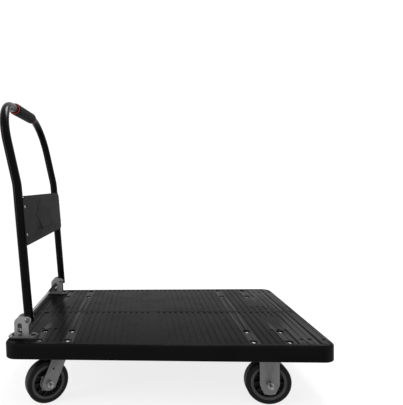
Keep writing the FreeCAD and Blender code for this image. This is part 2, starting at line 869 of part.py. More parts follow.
def make_grip():
    """A foam sleeve with soft shoulders and a ring at each end."""
    bar_x, bar_z = bar_centre()
    body = new_body("grip_sleeve")
    body.Placement = Placement(Vector(bar_x, size("grip_offset"), bar_z), UPRIGHT)
    profile = new_sketch(body, "XY_Plane")
    half, outer, inner = size("grip_length") / 2, size("grip_radius"), size("tube_radius")
    shoulder = 5
    bow = shoulder * (1 - math.sqrt(0.5))
    outline(profile, [
        (inner, -half), (outer - shoulder, -half),
        ((outer - bow, bow - half), (outer, shoulder - half)),
        (outer, half - shoulder),
        ((outer - bow, half - bow), (outer - shoulder, half)),
        (inner, half),
    ])
    revolve(body, profile)

    rings = []
    for side_name, side in SIDES.items():
        disc = cylinder(f"grip_ring_disc_{side_name}", "ring_radius", "ring_length")
        rounded = doc.addObject("Part::Fillet", f"grip_ring_round_{side_name}")
        rounded.Base = disc
        rounded.Edges = [(BOTTOM_EDGE, 2.0, 2.0), (TOP_EDGE, 2.0, 2.0)]
        hole = cylinder(f"grip_ring_hole_{side_name}", "tube_radius", "ring_length")
        ring = cut(f"grip_ring_{side_name}", rounded, hole)
        end_y = size("grip_offset") + side * half
        ring.Placement = Placement(Vector(bar_x, end_y, bar_z), OUTWARD[side_name])
        rings.append(ring)
    group("grip_end_rings", rings)


def make_panel():
    """A plain cover plate over the legs' deck side, with a folded foot and a raised hexagon."""
    foot, lower = handle_points()[0], handle_points()[3]
    body = new_body("handle_panel")
    low_on_leg = foot + lower * ((size("panel_low") - foot.z) / lower.z)
    tilt = Rotation(Vector(0, 1, 0), -size("lower_lean"))
    body.Placement = Placement(Vector(low_on_leg.x, 0, low_on_leg.z), tilt)
    tall = (size("panel_high") - size("panel_low")) / lower.z
    half, thick = size("panel_width") / 2, size("panel_thickness")
    face = size("tube_radius") + 0.05

    plate = new_sketch(body, "YZ_Plane", "tube_radius + 0.05")
    low_corner, high_corner = 10, 16
    outline(plate, [
        (-half + low_corner, 0), (half - low_corner, 0), (half, low_corner),
        (half, tall - high_corner), (half - high_corner, tall), (-half + high_corner, tall),
        (-half, tall - high_corner), (-half, low_corner),
    ])
    pad(body, plate, "panel_thickness")

    # Turned edges above and below, and a rib line over the foot.
    turned = new_sketch(body, "XZ_Plane", "0 - ( panel_width - 60 ) / 2")
    rectangle(turned, face - 9, face, 0, thick)
    rectangle(turned, face - 7, face, tall - thick, tall)
    pad(body, turned, "panel_width - 60")
    relief = new_sketch(body, "YZ_Plane", "tube_radius + 0.05 + panel_thickness")
    rectangle(relief, 24 - half, half - 24, 17, 20)
    middle, reach, rise = tall / 2 + 8, 118, tall / 2 - 24
    outline(relief, [
        (-reach, middle), (-reach * 0.45, middle - rise), (reach * 0.45, middle - rise),
        (reach, middle), (reach * 0.45, middle + rise), (-reach * 0.45, middle + rise),
    ])
    pad(body, relief, "0.9")

    holes = new_sketch(body, "YZ_Plane", "tube_radius")
    for height in PANEL_SCREW_HEIGHTS:
        up = (height - low_on_leg.z) / lower.z
        for side in SIDES.values():
            circle(holes, side * size("leg_side"), up, size("panel_screw_radius"))
    pocket(body, holes, "panel_thickness + 3", reverse=True)

    screws = []
    front = Vector(lower.z, 0, -lower.x)
    head_out = Rotation(Vector(0, 0, 1), front)
    for index, on_leg in enumerate(screw_places()):
        screw = round_bolt(f"panel_screw_{index}", "panel_screw_head_radius",
                           "panel_screw_head_height", "panel_screw_radius",
                           "panel_screw_length")
        screw.Placement = Placement(on_leg + front * (face + thick), head_out)
        screws.append(screw)
    group("panel_screws", screws)


# --- Casters ---------------------------------------------------------------------------------


def caster_place(end, side_name):
    """A caster's place: its fork's vertical axis on the floor, and its turn about it."""
    along = size("front_caster") if end == "front" else -size("rear_caster")
    turn = 0 if end == "front" else SWIVEL_ANGLES[side_name]
    return Placement(Vector(deck_x(along), SIDES[side_name] * size("caster_side"), 0),
                     Rotation(Vector(0, 0, 1), turn))


def axle_place(end, side_name):
    """The wheel's centre, with local +Z along the axle towards the outside of the cart."""
    back = 0 if end == "front" else -size("swivel_trail")
    local = Placement(Vector(back, 0, size("wheel_radius")), OUTWARD[side_name])
    return caster_place(end, side_name).multiply(local)


def add_axle_hole(body, back):
    hole = new_sketch(body, "XZ_Plane", "0 - fork_gap")
    circle(hole, back, size("wheel_radius"), size("axle_radius"))
    pocket(body, hole, "2 * fork_gap", reverse=True)


def make_rigid_fork(side_name):
    """A fixed fork: a bolted top plate and two straight legs with rounded ends."""
    body = new_body(f"rigid_fork_{side_name}")
    body.Placement = caster_place("front", side_name)
    plate_foot = size("seat_height") - size("caster_plate")
    axle_z = size("wheel_radius")
    half_x = size("front_bolts_long") / 2 + 9
    half_y = size("front_bolts_wide") / 2 + 9
    top = new_sketch(body, "XY_Plane", "seat_height - caster_plate")
    rounded_rectangle(top, half_x, half_y, 8)
    pad(body, top, "caster_plate")
    leg = new_sketch(body, "XZ_Plane", "0 - fork_gap / 2 - fork_plate")
    half, end = size("rigid_leg_width") / 2, size("rigid_leg_end")
    outline(leg, [
        (half, plate_foot + 1), (-half, plate_foot + 1), (-half, axle_z - 2),
        (-end * 0.52, axle_z - end * 0.9),
        ((0, axle_z - end), (end * 0.52, axle_z - end * 0.9)),
        (half, axle_z - 2),
    ])
    pad(body, leg, "fork_gap + 2 * fork_plate")
    gap = new_sketch(body, "XZ_Plane", "0 - fork_gap / 2")
    rectangle(gap, -half - 1, half + 1, 0, plate_foot)
    pocket(body, gap, "fork_gap", reverse=True)
    holes = new_sketch(body, "XY_Plane", "seat_height")
    for x, y in bolt_places(0, 0, size("front_bolts_long"), size("front_bolts_wide")):
        circle(holes, x, y, size("bolt_clear_radius"))
    pocket(body, holes, "caster_plate")
    add_axle_hole(body, 0)


def make_swivel_plate(side_name):
    """The fixed half of a swivel: a bolted plate with a pressed ring over the balls."""
    body = new_body(f"swivel_plate_{side_name}")
    place_here = caster_place("rear", side_name)
    body.Placement = Placement(place_here.Base, UPRIGHT)
    top = new_sketch(body, "XY_Plane", "seat_height - caster_plate")
    rounded_rectangle(top, size("rear_bolts_long") / 2 + 9, size("rear_bolts_wide") / 2 + 9, 8)
    pad(body, top, "caster_plate")
    profile = new_sketch(body, "XZ_Plane")
    ring, plate_foot = size("race_radius"), size("seat_height") - size("caster_plate")
    ball_z = size("crown_top") + size("ball_radius") + 0.1
    groove = size("ball_radius") + 0.05
    circle_at = size("ball_circle")
    race_foot = ball_z + 1
    bite = math.sqrt(groove ** 2 - 1)
    outline(profile, [
        (size("kingpin_radius"), plate_foot + 1), (size("kingpin_radius"), race_foot),
        (circle_at - bite, race_foot), ((circle_at, ball_z + groove), (circle_at + bite, race_foot)),
        (ring - 2.5, race_foot), (ring - 2.5, race_foot - 2), (ring, race_foot - 2),
        (ring, plate_foot + 1),
    ])
    revolve(body, profile)
    holes = new_sketch(body, "XY_Plane", "seat_height")
    for x, y in bolt_places(0, 0, size("rear_bolts_long"), size("rear_bolts_wide")):
        circle(holes, x, y, size("bolt_clear_radius"))
    circle(holes, 0, 0, size("kingpin_radius"))
    pocket(body, holes, "caster_plate")


def tangent_from(point, centre, radius, turn):
    """Where a line from a point touches a circle on the side that turn, 1 or -1, picks."""
    away_x, away_z = point[0] - centre[0], point[1] - centre[1]
    distance = math.hypot(away_x, away_z)
    angle = math.atan2(away_z, away_x) + turn * math.acos(radius / distance)
    return centre[0] + radius * math.cos(angle), centre[1] + radius * math.sin(angle)


def make_swivel_fork(side_name):
    """The turning half: a round crown over two raked legs that end round at the axle."""
    body = new_body(f"swivel_fork_{side_name}")
    body.Placement = caster_place("rear", side_name)
    crown = new_sketch(body, "XY_Plane", "crown_top - crown_plate")
    circle(crown, 0, 0, size("race_radius") - 3.5)
    pad(body, crown, "crown_plate")
    crown_top = size("crown_top")
    crown_foot = crown_top - size("crown_plate")
    axle = (-size("swivel_trail"), size("wheel_radius"))
    end = size("swivel_leg_end")
    shoulder_back, shoulder_front = (-20, crown_top - 12), (27, crown_top - 12)
    back = tangent_from(shoulder_back, axle, end, 1)
    front = tangent_from(shoulder_front, axle, end, -1)
    leg = new_sketch(body, "XZ_Plane", "0 - fork_gap / 2 - fork_plate")
    outline(leg, [
        (24, crown_top), (-17, crown_top), shoulder_back, back,
        ((axle[0] - 0.35 * end, axle[1] - 0.937 * end), front), shoulder_front,
    ])
    pad(body, leg, "fork_gap + 2 * fork_plate")
    gap = new_sketch(body, "XZ_Plane", "0 - fork_gap / 2")
    rectangle(gap, axle[0] - end - 1, 40, 0, crown_foot)
    pocket(body, gap, "fork_gap", reverse=True)
    square = new_sketch(body, "XZ_Plane", "0 - fork_gap")
    rectangle(square, -21.5, -16.5, 99.5, 104.5)
    pocket(body, square, "2 * fork_gap", reverse=True)
    kingpin = new_sketch(body, "XY_Plane", "crown_top")
    circle(kingpin, 0, 0, size("kingpin_radius") + size("running_clearance"))
    pocket(body, kingpin, "crown_plate")
    add_axle_hole(body, axle[0])


def make_swivel_bearings():
    """Balls, kingpins and their nuts, which stay with the deck."""
    pins, nuts, balls = [], [], []
    for side_name in SIDES:
        base = caster_place("rear", side_name).Base
        pin = round_bolt(f"kingpin_{side_name}", "kingpin_head_radius", "kingpin_head_height",
                         "kingpin_radius", "kingpin_length")
        pin.Placement = Placement(base + Vector(0, 0, size("seat_height")), UPRIGHT)
        pins.append(pin)
        nut = hex_nut(f"kingpin_nut_{side_name}", "kingpin_head_radius", "kingpin_nut_height",
                      "kingpin_radius")
        nut_foot = size("crown_top") - size("crown_plate") - size("kingpin_nut_height") - 0.3
        nut.Placement = Placement(base + Vector(0, 0, nut_foot), UPRIGHT)
        nuts.append(nut)
        for index in range(int(size("ball_count"))):
            angle = 2 * math.pi * index / size("ball_count")
            ball = doc.addObject("Part::Sphere", f"ball_{side_name}_{index}")
            bind(ball, Radius="ball_radius")
            reach = size("ball_circle")
            ball.Placement = Placement(
                base + Vector(reach * math.cos(angle), reach * math.sin(angle),
                              size("crown_top") + size("ball_radius") + 0.1), UPRIGHT)
            balls.append(ball)
    group("kingpins", pins)
    group("kingpin_nuts", nuts)
    group("swivel_balls", balls)


def make_wheel(end, side_name):
    """A tread on a ribbed core that turns on two bearings, with a guard disc on each face."""
    name = f"{end}_{side_name}"
    here = axle_place(end, side_name)
    half_tread, half_rim = size("wheel_width") / 2, size("rim_width") / 2
    outer, rim, rim_in = size("wheel_radius"), size("rim_radius"), size("rim_inner_radius")
    hub, half_hub = size("hub_radius"), size("hub_width") / 2
    bearing = size("bearing_radius")
    half_web = size("web_width") / 2

    tread = new_body(f"wheel_tread_{name}")
    tread.Placement = here
    profile = new_sketch(tread, "XZ_Plane")
    soft, bow = 6, 6 * (1 - math.sqrt(0.5))
    outline(profile, [
        (rim, -half_rim), (rim + 2, -half_tread), (outer - soft, -half_tread),
        ((outer - bow, bow - half_tread), (outer, soft - half_tread)),
        (outer, half_tread - soft),
        ((outer - bow, half_tread - bow), (outer - soft, half_tread)),
        (rim + 2, half_tread), (rim, half_rim),
    ])
    revolve(tread, profile)

    core = new_body(f"wheel_core_{name}")
    core.Placement = here
    section = new_sketch(core, "XZ_Plane")
    bore_step = size("spacer_radius") + 1.5
    step_z = half_hub - size("bearing_width")
    outline(section, [
        (bore_step, -step_z), (bearing, -step_z), (bearing, -half_hub), (hub, -half_hub),
        (hub, -half_web), (rim_in, -half_web), (rim_in + 1, -half_rim), (rim, -half_rim),
        (rim, half_rim), (rim_in + 1, half_rim), (rim_in, half_web), (hub, half_web),
        (hub, half_hub), (bearing, half_hub), (bearing, step_z), (bore_step, step_z),
    ])
    revolve(core, section)
    ribs = new_sketch(core, "XY_Plane", "0 - rib_width / 2")
    count = int(size("rib_count"))
    for index in range(count):
        angle = 2 * math.pi * index / count
        add_bar(ribs, hub - 1, rim_in + 1.5, 3.2, angle)
    pad(core, ribs, "rib_width")

    guards = []
    for face, sign in (("outer", 1), ("inner", -1)):
        guard = doc.addObject("PartDesign::Body", f"wheel_guard_{name}_{face}")
        low = 13.2 if sign > 0 else -14.7
        disc = new_sketch(guard, "XY_Plane", str(low))
        add_eared_disc(disc, size("guard_radius"), 4.5, 4)
        circle(disc, 0, 0, hub)
        pad(guard, disc, "1.5")
        guards.append(guard)
    group(f"wheel_guards_{name}", guards).Placement = here

    rings = []
    for face, foot in (("outer", step_z), ("inner", -half_hub)):
        ring = doc.addObject("PartDesign::Body", f"bearing_{name}_{face}")
        section = new_sketch(ring, "XZ_Plane")
        inner = size("spacer_radius") + size("running_clearance")
        top = foot + size("bearing_width")
        middle = (inner + bearing) / 2
        outline(section, [
            (inner, foot), (middle - 1.2, foot), (middle - 1.2, foot + 0.8),
            (middle + 1.2, foot + 0.8), (middle + 1.2, foot), (bearing, foot), (bearing, top),
            (middle + 1.2, top), (middle + 1.2, top - 0.8), (middle - 1.2, top - 0.8),
            (middle - 1.2, top), (inner, top),
        ])
        revolve(ring, section)
        rings.append(ring)
    group(f"wheel_bearings_{name}", rings).Placement = here


def add_bar(sketch, start, end, width, angle):
    """A straight bar in a sketch, from one radius to another at an angle."""
    along = (math.cos(angle), math.sin(angle))
    across = (-along[1] * width / 2, along[0] * width / 2)
    outline(sketch, [
        (start * along[0] - across[0], start * along[1] - across[1]),
        (end * along[0] - across[0], end * along[1] - across[1]),
        (end * along[0] + across[0], end * along[1] + across[1]),
        (start * along[0] + across[0], start * along[1] + across[1]),
    ])


def add_eared_disc(sketch, radius, ear, count):
    """A disc with small pointed ears, drawn as arcs between straight-sided points."""
    half_ear = 0.14
    points = []
    for index in range(count):
        centre = 2 * math.pi * index / count + math.pi / 4
        start, stop = centre + half_ear, centre + 2 * math.pi / count - half_ear
        middle = (start + stop) / 2
        points.append((math.cos(centre) * (radius + ear), math.sin(centre) * (radius + ear)))
        points.append((math.cos(start) * radius, math.sin(start) * radius))
        points.append(((math.cos(middle) * radius, math.sin(middle) * radius),
                       (math.cos(stop) * radius, math.sin(stop) * radius)))
    outline(sketch, points)


def axle_set(end, side_name):
    """A wheel's axle bolt, nut and spacer tube, which stay on its fork."""
    name = f"{end}_{side_name}"
    here = axle_place(end, side_name)
    half_fork = size("fork_gap") / 2 + size("fork_plate")
    bolt = round_bolt(f"axle_bolt_{name}", "axle_head_radius", "axle_head_height", "axle_radius",
                      "fork_gap + 2 * fork_plate + axle_nut_height + axle_end")
    bolt.Placement = here.multiply(Placement(Vector(0, 0, -half_fork), HEAD_DOWN))
    nut = hex_nut(f"axle_nut_{name}", "axle_nut_radius", "axle_nut_height", "axle_radius")
    nut.Placement = here.multiply(Placement(Vector(0, 0, half_fork), UPRIGHT))
    tube = cylinder(f"spacer_tube_{name}", "spacer_radius", "fork_gap - 0.2",
                    z="0 - fork_gap / 2 + 0.1")
    spacer = cut(f"axle_spacer_{name}", tube,
                 cylinder(f"spacer_bore_{name}", "axle_radius", "fork_gap",
                          z="0 - fork_gap / 2"))
    spacer.Placement = here
    return bolt, nut, spacer


def make_axles():
    """The rigid casters' axle pieces belong to the deck; each swivel fork keeps its own."""
    sets = [axle_set("front", side_name) for side_name in SIDES]
    for index, name in enumerate(("axle_bolts_front", "axle_nuts_front", "axle_spacers_front")):
        group(name, [pieces[index] for pieces in sets])
    for side_name in SIDES:
        for piece, kind in zip(axle_set("rear", side_name), ("bolt", "nut", "spacer")):
            node(f"axle_{kind}_rear_{side_name}", piece)


def make_caster_fasteners():
    """The bolts that hold the casters, sunk in the deck's wells, with washers and nuts."""
    bolts, nuts, washers = [], [], []
    well_floor = size("deck_top") - size("head_well_depth")
    plate_foot = size("seat_height") - size("caster_plate")
    for number, seat in enumerate(caster_seats()):
        for index, (x, y) in enumerate(bolt_places(*seat)):
            tag = f"{number}_{index}"
            ring = washer(f"caster_washer_{tag}", "washer_radius", "washer_thickness",
                          "bolt_radius")
            ring.Placement = Placement(Vector(deck_x(x), y, well_floor), UPRIGHT)
            washers.append(ring)
            bolt = hex_bolt(f"caster_bolt_{tag}", "bolt_head_radius", "bolt_head_height",
                            "bolt_radius", "caster_bolt_length")
            head_foot = well_floor + size("washer_thickness")
            bolt.Placement = Placement(Vector(deck_x(x), y, head_foot), UPRIGHT)
            bolts.append(bolt)
            nut = hex_nut(f"caster_nut_{tag}", "nut_radius", "nut_height", "bolt_radius")
            nut_foot = plate_foot - size("nut_height")
            nut.Placement = Placement(Vector(deck_x(x), y, nut_foot), UPRIGHT)
            nuts.append(nut)
    group("caster_bolts", bolts)
    group("caster_nuts", nuts)
    group("caster_washers", washers)


def check_document():
    """Stop on a failed feature or a bad shape, before anything is written."""
    for feature in doc.Objects:
        if "Invalid" in feature.State or "Error" in feature.State:
            raise RuntimeError(f"{feature.Name} failed: {feature.State}")
    for name, feature in nodes.items():
        if feature.Shape.isNull() or not feature.Shape.isValid():
            raise RuntimeError(f"{name} has a bad shape")
        if not feature.Shape.Solids:
            raise RuntimeError(f"{name} has no solid")


def export_parts():
    os.makedirs("parts", exist_ok=True)
    for name, feature in nodes.items():
        feature.Shape.exportStep(f"parts/{name}.step")


make_deck()
for side_name in SIDES:
    make_bracket(side_name)
    make_rigid_fork(side_name)
    make_swivel_plate(side_name)
    make_swivel_fork(side_name)
make_bracket_fasteners()
make_latch()
make_handle_tube()
make_hinge_bushes()
make_grip()
make_panel()
make_swivel_bearings()
for end in ("front", "rear"):
    for side_name in SIDES:
        make_wheel(end, side_name)
make_axles()
make_caster_fasteners()
doc.recompute()
check_document()
export_parts()

box_of_all = FreeCAD.BoundBox()
for feature in nodes.values():
    box_of_all.add(feature.Shape.BoundBox)
print(f"{len(nodes)} nodes, box X {box_of_all.XMin:.2f} {box_of_all.XMax:.2f}, "
      f"Y {box_of_all.YMin:.2f} {box_of_all.YMax:.2f}, Z {box_of_all.ZMin:.2f} {box_of_all.ZMax:.2f}")
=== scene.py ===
import json
import math

import bmesh
import bpy
from mathutils import Matrix, Vector


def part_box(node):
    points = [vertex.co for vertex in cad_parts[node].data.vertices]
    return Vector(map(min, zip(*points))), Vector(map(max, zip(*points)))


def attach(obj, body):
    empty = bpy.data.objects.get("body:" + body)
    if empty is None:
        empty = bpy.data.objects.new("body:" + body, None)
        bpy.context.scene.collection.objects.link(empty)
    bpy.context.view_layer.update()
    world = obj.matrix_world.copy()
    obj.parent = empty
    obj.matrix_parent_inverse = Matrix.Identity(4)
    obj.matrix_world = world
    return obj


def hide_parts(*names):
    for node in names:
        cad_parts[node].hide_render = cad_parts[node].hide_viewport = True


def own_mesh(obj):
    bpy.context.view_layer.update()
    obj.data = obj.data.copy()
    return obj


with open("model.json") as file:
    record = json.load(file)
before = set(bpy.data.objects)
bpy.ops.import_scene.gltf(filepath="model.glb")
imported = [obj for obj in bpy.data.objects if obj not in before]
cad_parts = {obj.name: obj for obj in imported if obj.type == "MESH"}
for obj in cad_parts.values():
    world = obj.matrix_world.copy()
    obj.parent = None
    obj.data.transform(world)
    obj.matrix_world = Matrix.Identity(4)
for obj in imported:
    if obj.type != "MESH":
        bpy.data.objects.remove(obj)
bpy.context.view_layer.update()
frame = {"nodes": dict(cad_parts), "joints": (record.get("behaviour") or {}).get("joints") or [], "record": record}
NODES = frame["nodes"]

# --- Materials -------------------------------------------------------------------------------


class Surface:
    """A procedural material under construction: small helpers around its node tree."""

    def __init__(self, name, **sockets):
        self.material = bpy.data.materials.new(name)
        self.material.use_nodes = True
        self.tree = self.material.node_tree
        self.shader = self.tree.nodes["Principled BSDF"]
        for socket, value in sockets.items():
            self.shader.inputs[socket.replace("_", " ")].default_value = value
        self.coordinates = self.add("ShaderNodeTexCoord").outputs["Object"]
        self.height = None

    def add(self, kind, **settings):
        node = self.tree.nodes.new(kind)
        for name, value in settings.items():
            if name in node.inputs:
                node.inputs[name].default_value = value
            elif name.replace("_", " ") in node.inputs:
                node.inputs[name.replace("_", " ")].default_value = value
            else:
                setattr(node, name, value)
        return node

    def link(self, output, target):
        self.tree.links.new(output, target)

    def noise(self, scale, detail=3.0, roughness=0.55, stretch=(1, 1, 1)):
        """Noise in object space, as a value about 0.5. Scale is in features per metre."""
        mapping = self.add("ShaderNodeMapping")
        mapping.inputs["Scale"].default_value = stretch
        self.link(self.coordinates, mapping.inputs["Vector"])
        node = self.add("ShaderNodeTexNoise", Scale=scale, Detail=detail, Roughness=roughness)
        self.link(mapping.outputs["Vector"], node.inputs["Vector"])
        return node.outputs["Fac"]

    def remap(self, value, low, high, from_low=0.3, from_high=0.7):
        node = self.add("ShaderNodeMapRange")
        node.inputs["From Min"].default_value = from_low
        node.inputs["From Max"].default_value = from_high
        node.inputs["To Min"].default_value = low
        node.inputs["To Max"].default_value = high
        self.link(value, node.inputs["Value"])
        return node.outputs["Result"]

    def mix(self, factor, first, second):
        """A colour between two, where either may be a colour or another node's output."""
        node = self.add("ShaderNodeMix", data_type="RGBA")
        self.link(factor, node.inputs[0])
        for value, socket in ((first, node.inputs[6]), (second, node.inputs[7])):
            if isinstance(value, tuple):
                socket.default_value = (*value, 1.0)
            else:
                self.link(value, socket)
        return node.outputs[2]

    def math(self, operation, first, second=0.5):
        node = self.add("ShaderNodeMath", operation=operation)
        for value, socket in ((first, node.inputs[0]), (second, node.inputs[1])):
            if isinstance(value, (int, float)):
                socket.default_value = value
            else:
                self.link(value, socket)
        return node.outputs[0]

    def colour(self, output):
        self.link(output, self.shader.inputs["Base Color"])

    def roughness(self, output):
        self.link(output, self.shader.inputs["Roughness"])

    def bump(self, value, distance, strength=1.0):
        """Add a layer of bump, its depth in metres at full strength."""
        node = self.add("ShaderNodeBump", Strength=strength, Distance=distance)
        self.link(value, node.inputs["Height"])
        if self.height is not None:
            self.link(self.height, node.inputs["Normal"])
        self.height = node.outputs["Normal"]
        self.link(self.height, self.shader.inputs["Normal"])

    def convex_edges(self, low=0.51, high=0.56):
        """1 on convex edges and 0 on flats, from the mesh's own curvature."""
        geometry = self.add("ShaderNodeNewGeometry")
        return self.remap(geometry.outputs["Pointiness"], 0.0, 1.0, low, high)


def grey(value):
    return (value, value, value * 1.02)


def moulded_plastic(name, base, light, rough, grain=0.00006, specular=0.1, edge_wear_and_sheen=0.04):
    """Black moulded plastic: a fine leather-like grain, faint flow marks, and convex edges paled toward grey,
    partly as wear and partly as a painted highlight.
    """
    surface = Surface(name, IOR=1.5, Specular_IOR_Level=specular)
    cloud = surface.remap(surface.noise(9, detail=4), 0.0, 1.0)
    fine = surface.noise(420, detail=2)
    tone = surface.mix(cloud, grey(base), grey(light))
    # Paling the convex edges toward grey is partly wear and partly a painted highlight along the rounded edges.
    edges = surface.math("MULTIPLY", surface.convex_edges(), edge_wear_and_sheen)
    surface.colour(surface.mix(edges, tone, grey(0.3)))
    scuffs = surface.remap(surface.noise(14, detail=6, roughness=0.7), 0.0, 0.1, 0.45, 0.7)
    surface.roughness(surface.math("ADD", surface.remap(fine, rough - 0.06, rough + 0.06), scuffs))
    surface.bump(surface.noise(1300, detail=1), grain, 0.5)
    surface.bump(fine, grain * 2.0, 0.35)
    return surface.material


def wheel_nylon(name, joint):
    """Dark moulded nylon, grey on the rim ring and near black everywhere nearer the axle, recess and ribs
    included.
    """
    surface = Surface(name, IOR=1.5, Specular_IOR_Level=0.12)
    arm = surface.add("ShaderNodeVectorMath", operation="SUBTRACT")
    surface.link(surface.coordinates, arm.inputs[0])
    arm.inputs[1].default_value = joint["pos_m"]
    across = surface.add("ShaderNodeVectorMath", operation="CROSS_PRODUCT")
    surface.link(arm.outputs["Vector"], across.inputs[0])
    across.inputs[1].default_value = joint["axis"]
    radius = surface.add("ShaderNodeVectorMath", operation="LENGTH")
    surface.link(across.outputs["Vector"], radius.inputs[0])
    ring = surface.remap(radius.outputs["Value"], 0.0, 1.0, 0.0405, 0.042)
    cloud = surface.remap(surface.noise(40, detail=4), 0.0, 1.0)
    ring_grey = surface.mix(cloud, grey(0.03), grey(0.045))
    surface.colour(surface.mix(ring, grey(0.003), ring_grey))
    surface.roughness(surface.remap(surface.noise(300), 0.38, 0.5))
    surface.bump(surface.noise(1300, detail=1), 0.00003, 0.5)
    return surface.material


def gloss_paint(name, base, specular):
    """Gloss black enamel over steel tube, with a slight orange peel."""
    surface = Surface(name, IOR=1.5, Specular_IOR_Level=specular)
    cloud = surface.remap(surface.noise(25, detail=3), 0.0, 1.0)
    surface.colour(surface.mix(cloud, grey(base), grey(base * 1.8)))
    surface.roughness(surface.remap(surface.noise(60), 0.14, 0.24))
    surface.bump(surface.noise(260, detail=1), 0.00012, 0.3)
    return surface.material


def zinc_plate(name, base, light, rough=0.34, stretch=(1, 1, 1), edge_highlight=0.6):
    """Zinc plating: mottled grey, rolled streaks, duller in patches, and a painted highlight that brightens the
    convex edges.
    """
    surface = Surface(name, Metallic=0.85, Specular_IOR_Level=0.3)
    patches = surface.remap(surface.noise(38, detail=5, roughness=0.65), 0.0, 1.0)
    streaks = surface.noise(140, detail=4, stretch=stretch)
    tone = surface.mix(patches, grey(base), grey(light))
    # The convex edges are mixed toward a brighter grey: a painted highlight where rounded edges catch the light.
    edges = surface.math("MULTIPLY", surface.convex_edges(0.5, 0.6), 0.5)
    surface.colour(surface.mix(edges, tone, grey(edge_highlight)))
    surface.roughness(surface.remap(streaks, rough - 0.08, rough + 0.14))
    surface.bump(streaks, 0.00005, 0.4)
    return surface.material


def tyre_rubber(name):
    """Black tread rubber, a little dusty where it rolls."""
    surface = Surface(name, IOR=1.5, Specular_IOR_Level=0.12)
    dust = surface.remap(surface.noise(60, detail=6, roughness=0.7), 0.0, 1.0, 0.45, 0.75)
    surface.colour(surface.mix(dust, grey(0.0015), grey(0.004)))
    surface.roughness(surface.remap(surface.noise(200), 0.42, 0.6))
    surface.bump(surface.noise(900, detail=2), 0.00012, 0.5)
    return surface.material


def foam_rubber(name):
    """The grip: matt closed-cell foam with a fine pore."""
    surface = Surface(name, IOR=1.45, Specular_IOR_Level=0.04)
    cells = surface.add("ShaderNodeTexVoronoi", Scale=900.0)
    surface.link(surface.coordinates, cells.inputs["Vector"])
    cloud = surface.remap(surface.noise(30), 0.0, 1.0)
    surface.colour(surface.mix(cloud, grey(0.0006), grey(0.0016)))
    surface.roughness(surface.remap(surface.noise(300), 0.5, 0.68))
    surface.bump(cells.outputs["Distance"], 0.00012, 0.5)
    return surface.material


def red_plastic(name):
    """The grip's end rings: dark red, slightly clouded."""
    surface = Surface(name, IOR=1.5, Roughness=0.35, Specular_IOR_Level=0.15)
    cloud = surface.remap(surface.noise(90), 0.0, 1.0)
    surface.colour(surface.mix(cloud, (0.1, 0.001, 0.002), (0.16, 0.003, 0.004)))
    surface.bump(surface.noise(700), 0.00005, 0.4)
    return surface.material


MATERIALS = {
    # The deck's stronger edge paling is mostly a painted highlight along its rounded near top edge.
    "deck_plastic": moulded_plastic("deck_plastic", 0.001, 0.002, 0.27, specular=0.014,
                                    edge_wear_and_sheen=0.08),
    "panel_plastic": moulded_plastic("panel_plastic", 0.0015, 0.003, 0.4, specular=0.004),
    "guard_plastic": moulded_plastic("guard_plastic", 0.06, 0.09, 0.4, grain=0.00002,
                                     specular=0.3),
    "nylon": moulded_plastic("nylon", 0.004, 0.008, 0.4, grain=0.00002),
    "black_steel": moulded_plastic("black_steel", 0.006, 0.012, 0.36, grain=0.00003,
                                   specular=0.2),
    "handle_paint": gloss_paint("handle_paint", 0.0008, 0.05),
    "grip_foam": foam_rubber("grip_foam"),
    "ring_red": red_plastic("ring_red"),
    "tread": tyre_rubber("tread"),
    "zinc_steel": zinc_plate("zinc_steel", 0.09, 0.14, rough=0.4, edge_highlight=0.3),
    # The forks' zinc is a darker copy of the bracket zinc: painted shade for the forks under the deck.
    "fork_steel": zinc_plate("fork_steel", 0.03, 0.046, rough=0.38, edge_highlight=0.22),
    "fastener_steel": zinc_plate("fastener_steel", 0.13, 0.2, rough=0.3, edge_highlight=0.4),
    # The caster bolts' zinc is a much paler copy: a painted highlight on bolt heads that sit in shade in their
    # wells.
    "caster_bolts": zinc_plate("caster_bolts", 0.6, 0.8, rough=0.4, edge_highlight=0.9),
    # Hinge pins and seat bolts get darker copies of the zinc: painted shade inside the brackets.
    "hinge_pins": zinc_plate("hinge_pins", 0.04, 0.07, rough=0.3, edge_highlight=0.2),
    "seat_bolts": zinc_plate("seat_bolts", 0.05, 0.08, rough=0.3, edge_highlight=0.2),
    "spring_steel": zinc_plate("spring_steel", 0.3, 0.42, rough=0.25),
    "bearing_steel": zinc_plate("bearing_steel", 0.35, 0.45, rough=0.2),
}


def add_wheel_finishes():
    """The rim ring is found by its distance from the axle, so each wheel has its own finish."""
    for joint in frame["joints"]:
        if joint["name"].startswith("wheel_roll"):
            core = joint["child"].replace("wheel_", "wheel_core_")
            MATERIALS[core] = wheel_nylon(core, joint)


def finish_of(part):
    if part["node"] in MATERIALS:
        return part["node"]
    return "fork_steel" if "_fork_" in part["node"] else part["material_slot"]


def paint_nodes():
    """Give every CAD node a finish: the one made for that node if there is one, the darker painted-shade fork
    steel for fork parts, and otherwise that of its material slot.
    """
    for part in frame["record"]["subparts"]:
        mesh = NODES[part["node"]].data
        mesh.materials.clear()
        mesh.materials.append(MATERIALS[finish_of(part)])


# --- Latch springs -------------------------------------------------------------------------------

# Metres: the wire's radius, the same as in the coils that these stand for.
SPRING_WIRE = 0.0008
SPRING_TURNS = 4.5
SPRING_END_CLOSING = 0.35
STEPS_PER_TURN = 28
WIRE_SIDES = 12


def coil_point(share, centre, radius, rise):
    """A point of the coil's centreline. The pitch closes up towards both ends."""
    turn = 2 * math.pi * SPRING_TURNS * share
    climb = share - SPRING_END_CLOSING * math.sin(2 * math.pi * share) / (2 * math.pi)
    return centre + Vector((radius * math.cos(turn), radius * math.sin(turn), rise * climb))


